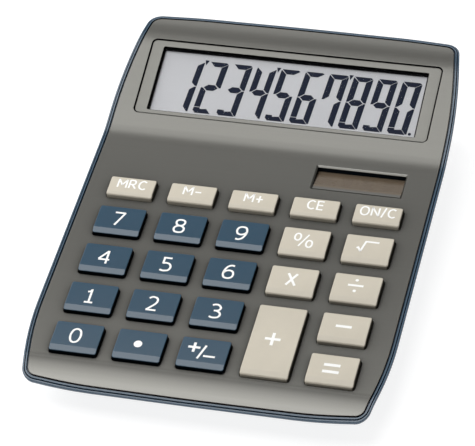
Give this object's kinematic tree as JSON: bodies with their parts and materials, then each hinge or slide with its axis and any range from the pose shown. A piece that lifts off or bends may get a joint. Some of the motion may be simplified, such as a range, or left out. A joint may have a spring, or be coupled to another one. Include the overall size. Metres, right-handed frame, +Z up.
{
  "type": "desktop calculator",
  "caption": "Solar desktop calculator with a bent metal faceplate, sprung number and function keys, a sunken display, a solar cell and a hinged cell cover underneath.",
  "frame": {"origin": "centre of the bounding box in plan, at the underside of the rubber feet", "axes": "+Z up, +Y from the user's edge towards the raised display, +X to the user's right"},
  "size_m": [0.108, 0.1464, 0.0316],
  "materials": {
    "housing_blue": "fine satin moulding texture",
    "brushed_plate": "brushed along the width, warm grey anodised",
    "display_frame": "satin, tinted like the faceplate",
    "clear_window": "polished clear window",
    "tinted_window": "polished brown-tinted window",
    "solar_cell": "dark brown amorphous cell",
    "lead_sleeve": "insulated lead",
    "board_laminate": "phenolic laminate",
    "grey_rubber": "moulded silicone rubber",
    "zinc_screw": "zinc plated",
    "black_rubber": "moulded rubber",
    "steel_can": "polished steel can",
    "spring_strip": "plated spring strip",
    "ribbon_film": "flat film cable",
    "lcd_panel": "grey liquid-crystal panel",
    "reflector_film": "silver film",
    "foam": "open-cell foam",
    "resin": "black potting resin",
    "capacitor_sleeve": "shrunk sleeve",
    "key_blue": "satin dark blue keys",
    "key_cream": "satin cream keys"
  },
  "bodies": {
    "housing": {"top_housing": "housing_blue", "bottom_housing": "housing_blue", "faceplate": "brushed_plate", "display_frame": "display_frame", "display_window": "clear_window", "solar_window": "tinted_window", "solar_cell": "solar_cell", "solar_leads": "lead_sleeve", "circuit_board": "board_laminate", "display_board": "board_laminate", "keypad_mat": "grey_rubber", "board_screws": "zinc_screw", "display_screws": "zinc_screw", "housing_screws": "zinc_screw", "rubber_feet": "black_rubber", "button_cell": "steel_can", "cell_contact": "spring_strip", "side_contact": "spring_strip", "ribbon_cable": "ribbon_film", "lcd_front_glass": "lcd_panel", "lcd_rear_glass": "lcd_panel", "lcd_reflector": "reflector_film", "lcd_cushion": "foam", "contact_strip": "grey_rubber", "chip_blob": "resin", "capacitor": "capacitor_sleeve"},
    "key_mrc": {"key_mrc": "key_cream"},
    "key_m_minus": {"key_m_minus": "key_cream"},
    "key_m_plus": {"key_m_plus": "key_cream"},
    "key_ce": {"key_ce": "key_cream"},
    "key_on_c": {"key_on_c": "key_cream"},
    "key_7": {"key_7": "key_blue"},
    "key_8": {"key_8": "key_blue"},
    "key_9": {"key_9": "key_blue"},
    "key_percent": {"key_percent": "key_cream"},
    "key_root": {"key_root": "key_cream"},
    "key_4": {"key_4": "key_blue"},
    "key_5": {"key_5": "key_blue"},
    "key_6": {"key_6": "key_blue"},
    "key_times": {"key_times": "key_cream"},
    "key_divide": {"key_divide": "key_cream"},
    "key_1": {"key_1": "key_blue"},
    "key_2": {"key_2": "key_blue"},
    "key_3": {"key_3": "key_blue"},
    "key_minus": {"key_minus": "key_cream"},
    "key_0": {"key_0": "key_blue"},
    "key_point": {"key_point": "key_blue"},
    "key_sign": {"key_sign": "key_blue"},
    "key_plus": {"key_plus": "key_cream"},
    "key_equals": {"key_equals": "key_cream"},
    "cell_cover": {"cell_cover": "housing_blue"}
  },
  "joints": [
    {"name": "key_mrc_press", "type": "slide", "parent": "housing", "child": "key_mrc", "axis": [0, 0.0872, -0.9962], "range_m": [0, 0.0012], "stiffness_N_per_m": 400, "springref_m": -0.0003},
    {"name": "key_m_minus_press", "type": "slide", "parent": "housing", "child": "key_m_minus", "axis": [0, 0.0872, -0.9962], "range_m": [0, 0.0012], "stiffness_N_per_m": 400, "springref_m": -0.0003},
    {"name": "key_m_plus_press", "type": "slide", "parent": "housing", "child": "key_m_plus", "axis": [0, 0.0872, -0.9962], "range_m": [0, 0.0012], "stiffness_N_per_m": 400, "springref_m": -0.0003},
    {"name": "key_ce_press", "type": "slide", "parent": "housing", "child": "key_ce", "axis": [0, 0.0872, -0.9962], "range_m": [0, 0.0012], "stiffness_N_per_m": 400, "springref_m": -0.0003},
    {"name": "key_on_c_press", "type": "slide", "parent": "housing", "child": "key_on_c", "axis": [0, 0.0872, -0.9962], "range_m": [0, 0.0012], "stiffness_N_per_m": 400, "springref_m": -0.0003},
    {"name": "key_7_press", "type": "slide", "parent": "housing", "child": "key_7", "axis": [0, 0.0872, -0.9962], "range_m": [0, 0.0012], "stiffness_N_per_m": 400, "springref_m": -0.0003},
    {"name": "key_8_press", "type": "slide", "parent": "housing", "child": "key_8", "axis": [0, 0.0872, -0.9962], "range_m": [0, 0.0012], "stiffness_N_per_m": 400, "springref_m": -0.0003},
    {"name": "key_9_press", "type": "slide", "parent": "housing", "child": "key_9", "axis": [0, 0.0872, -0.9962], "range_m": [0, 0.0012], "stiffness_N_per_m": 400, "springref_m": -0.0003},
    {"name": "key_percent_press", "type": "slide", "parent": "housing", "child": "key_percent", "axis": [0, 0.0872, -0.9962], "range_m": [0, 0.0012], "stiffness_N_per_m": 400, "springref_m": -0.0003},
    {"name": "key_root_press", "type": "slide", "parent": "housing", "child": "key_root", "axis": [0, 0.0872, -0.9962], "range_m": [0, 0.0012], "stiffness_N_per_m": 400, "springref_m": -0.0003},
    {"name": "key_4_press", "type": "slide", "parent": "housing", "child": "key_4", "axis": [0, 0.0872, -0.9962], "range_m": [0, 0.0012], "stiffness_N_per_m": 400, "springref_m": -0.0003},
    {"name": "key_5_press", "type": "slide", "parent": "housing", "child": "key_5", "axis": [0, 0.0872, -0.9962], "range_m": [0, 0.0012], "stiffness_N_per_m": 400, "springref_m": -0.0003},
    {"name": "key_6_press", "type": "slide", "parent": "housing", "child": "key_6", "axis": [0, 0.0872, -0.9962], "range_m": [0, 0.0012], "stiffness_N_per_m": 400, "springref_m": -0.0003},
    {"name": "key_times_press", "type": "slide", "parent": "housing", "child": "key_times", "axis": [0, 0.0872, -0.9962], "range_m": [0, 0.0012], "stiffness_N_per_m": 400, "springref_m": -0.0003},
    {"name": "key_divide_press", "type": "slide", "parent": "housing", "child": "key_divide", "axis": [0, 0.0872, -0.9962], "range_m": [0, 0.0012], "stiffness_N_per_m": 400, "springref_m": -0.0003},
    {"name": "key_1_press", "type": "slide", "parent": "housing", "child": "key_1", "axis": [0, 0.0872, -0.9962], "range_m": [0, 0.0012], "stiffness_N_per_m": 400, "springref_m": -0.0003},
    {"name": "key_2_press", "type": "slide", "parent": "housing", "child": "key_2", "axis": [0, 0.0872, -0.9962], "range_m": [0, 0.0012], "stiffness_N_per_m": 400, "springref_m": -0.0003},
    {"name": "key_3_press", "type": "slide", "parent": "housing", "child": "key_3", "axis": [0, 0.0872, -0.9962], "range_m": [0, 0.0012], "stiffness_N_per_m": 400, "springref_m": -0.0003},
    {"name": "key_minus_press", "type": "slide", "parent": "housing", "child": "key_minus", "axis": [0, 0.0872, -0.9962], "range_m": [0, 0.0012], "stiffness_N_per_m": 400, "springref_m": -0.0003},
    {"name": "key_0_press", "type": "slide", "parent": "housing", "child": "key_0", "axis": [0, 0.0872, -0.9962], "range_m": [0, 0.0012], "stiffness_N_per_m": 400, "springref_m": -0.0003},
    {"name": "key_point_press", "type": "slide", "parent": "housing", "child": "key_point", "axis": [0, 0.0872, -0.9962], "range_m": [0, 0.0012], "stiffness_N_per_m": 400, "springref_m": -0.0003},
    {"name": "key_sign_press", "type": "slide", "parent": "housing", "child": "key_sign", "axis": [0, 0.0872, -0.9962], "range_m": [0, 0.0012], "stiffness_N_per_m": 400, "springref_m": -0.0003},
    {"name": "key_plus_press", "type": "slide", "parent": "housing", "child": "key_plus", "axis": [0, 0.0872, -0.9962], "range_m": [0, 0.0012], "stiffness_N_per_m": 700, "springref_m": -0.0003},
    {"name": "key_equals_press", "type": "slide", "parent": "housing", "child": "key_equals", "axis": [0, 0.0872, -0.9962], "range_m": [0, 0.0012], "stiffness_N_per_m": 400, "springref_m": -0.0003},
    {"name": "cell_cover_hinge", "type": "hinge", "parent": "housing", "child": "cell_cover", "pos_m": [0.02, -0.00697, 0.0015], "axis": [-1, 0, 0], "range_deg": [0, 70]}
  ]
}
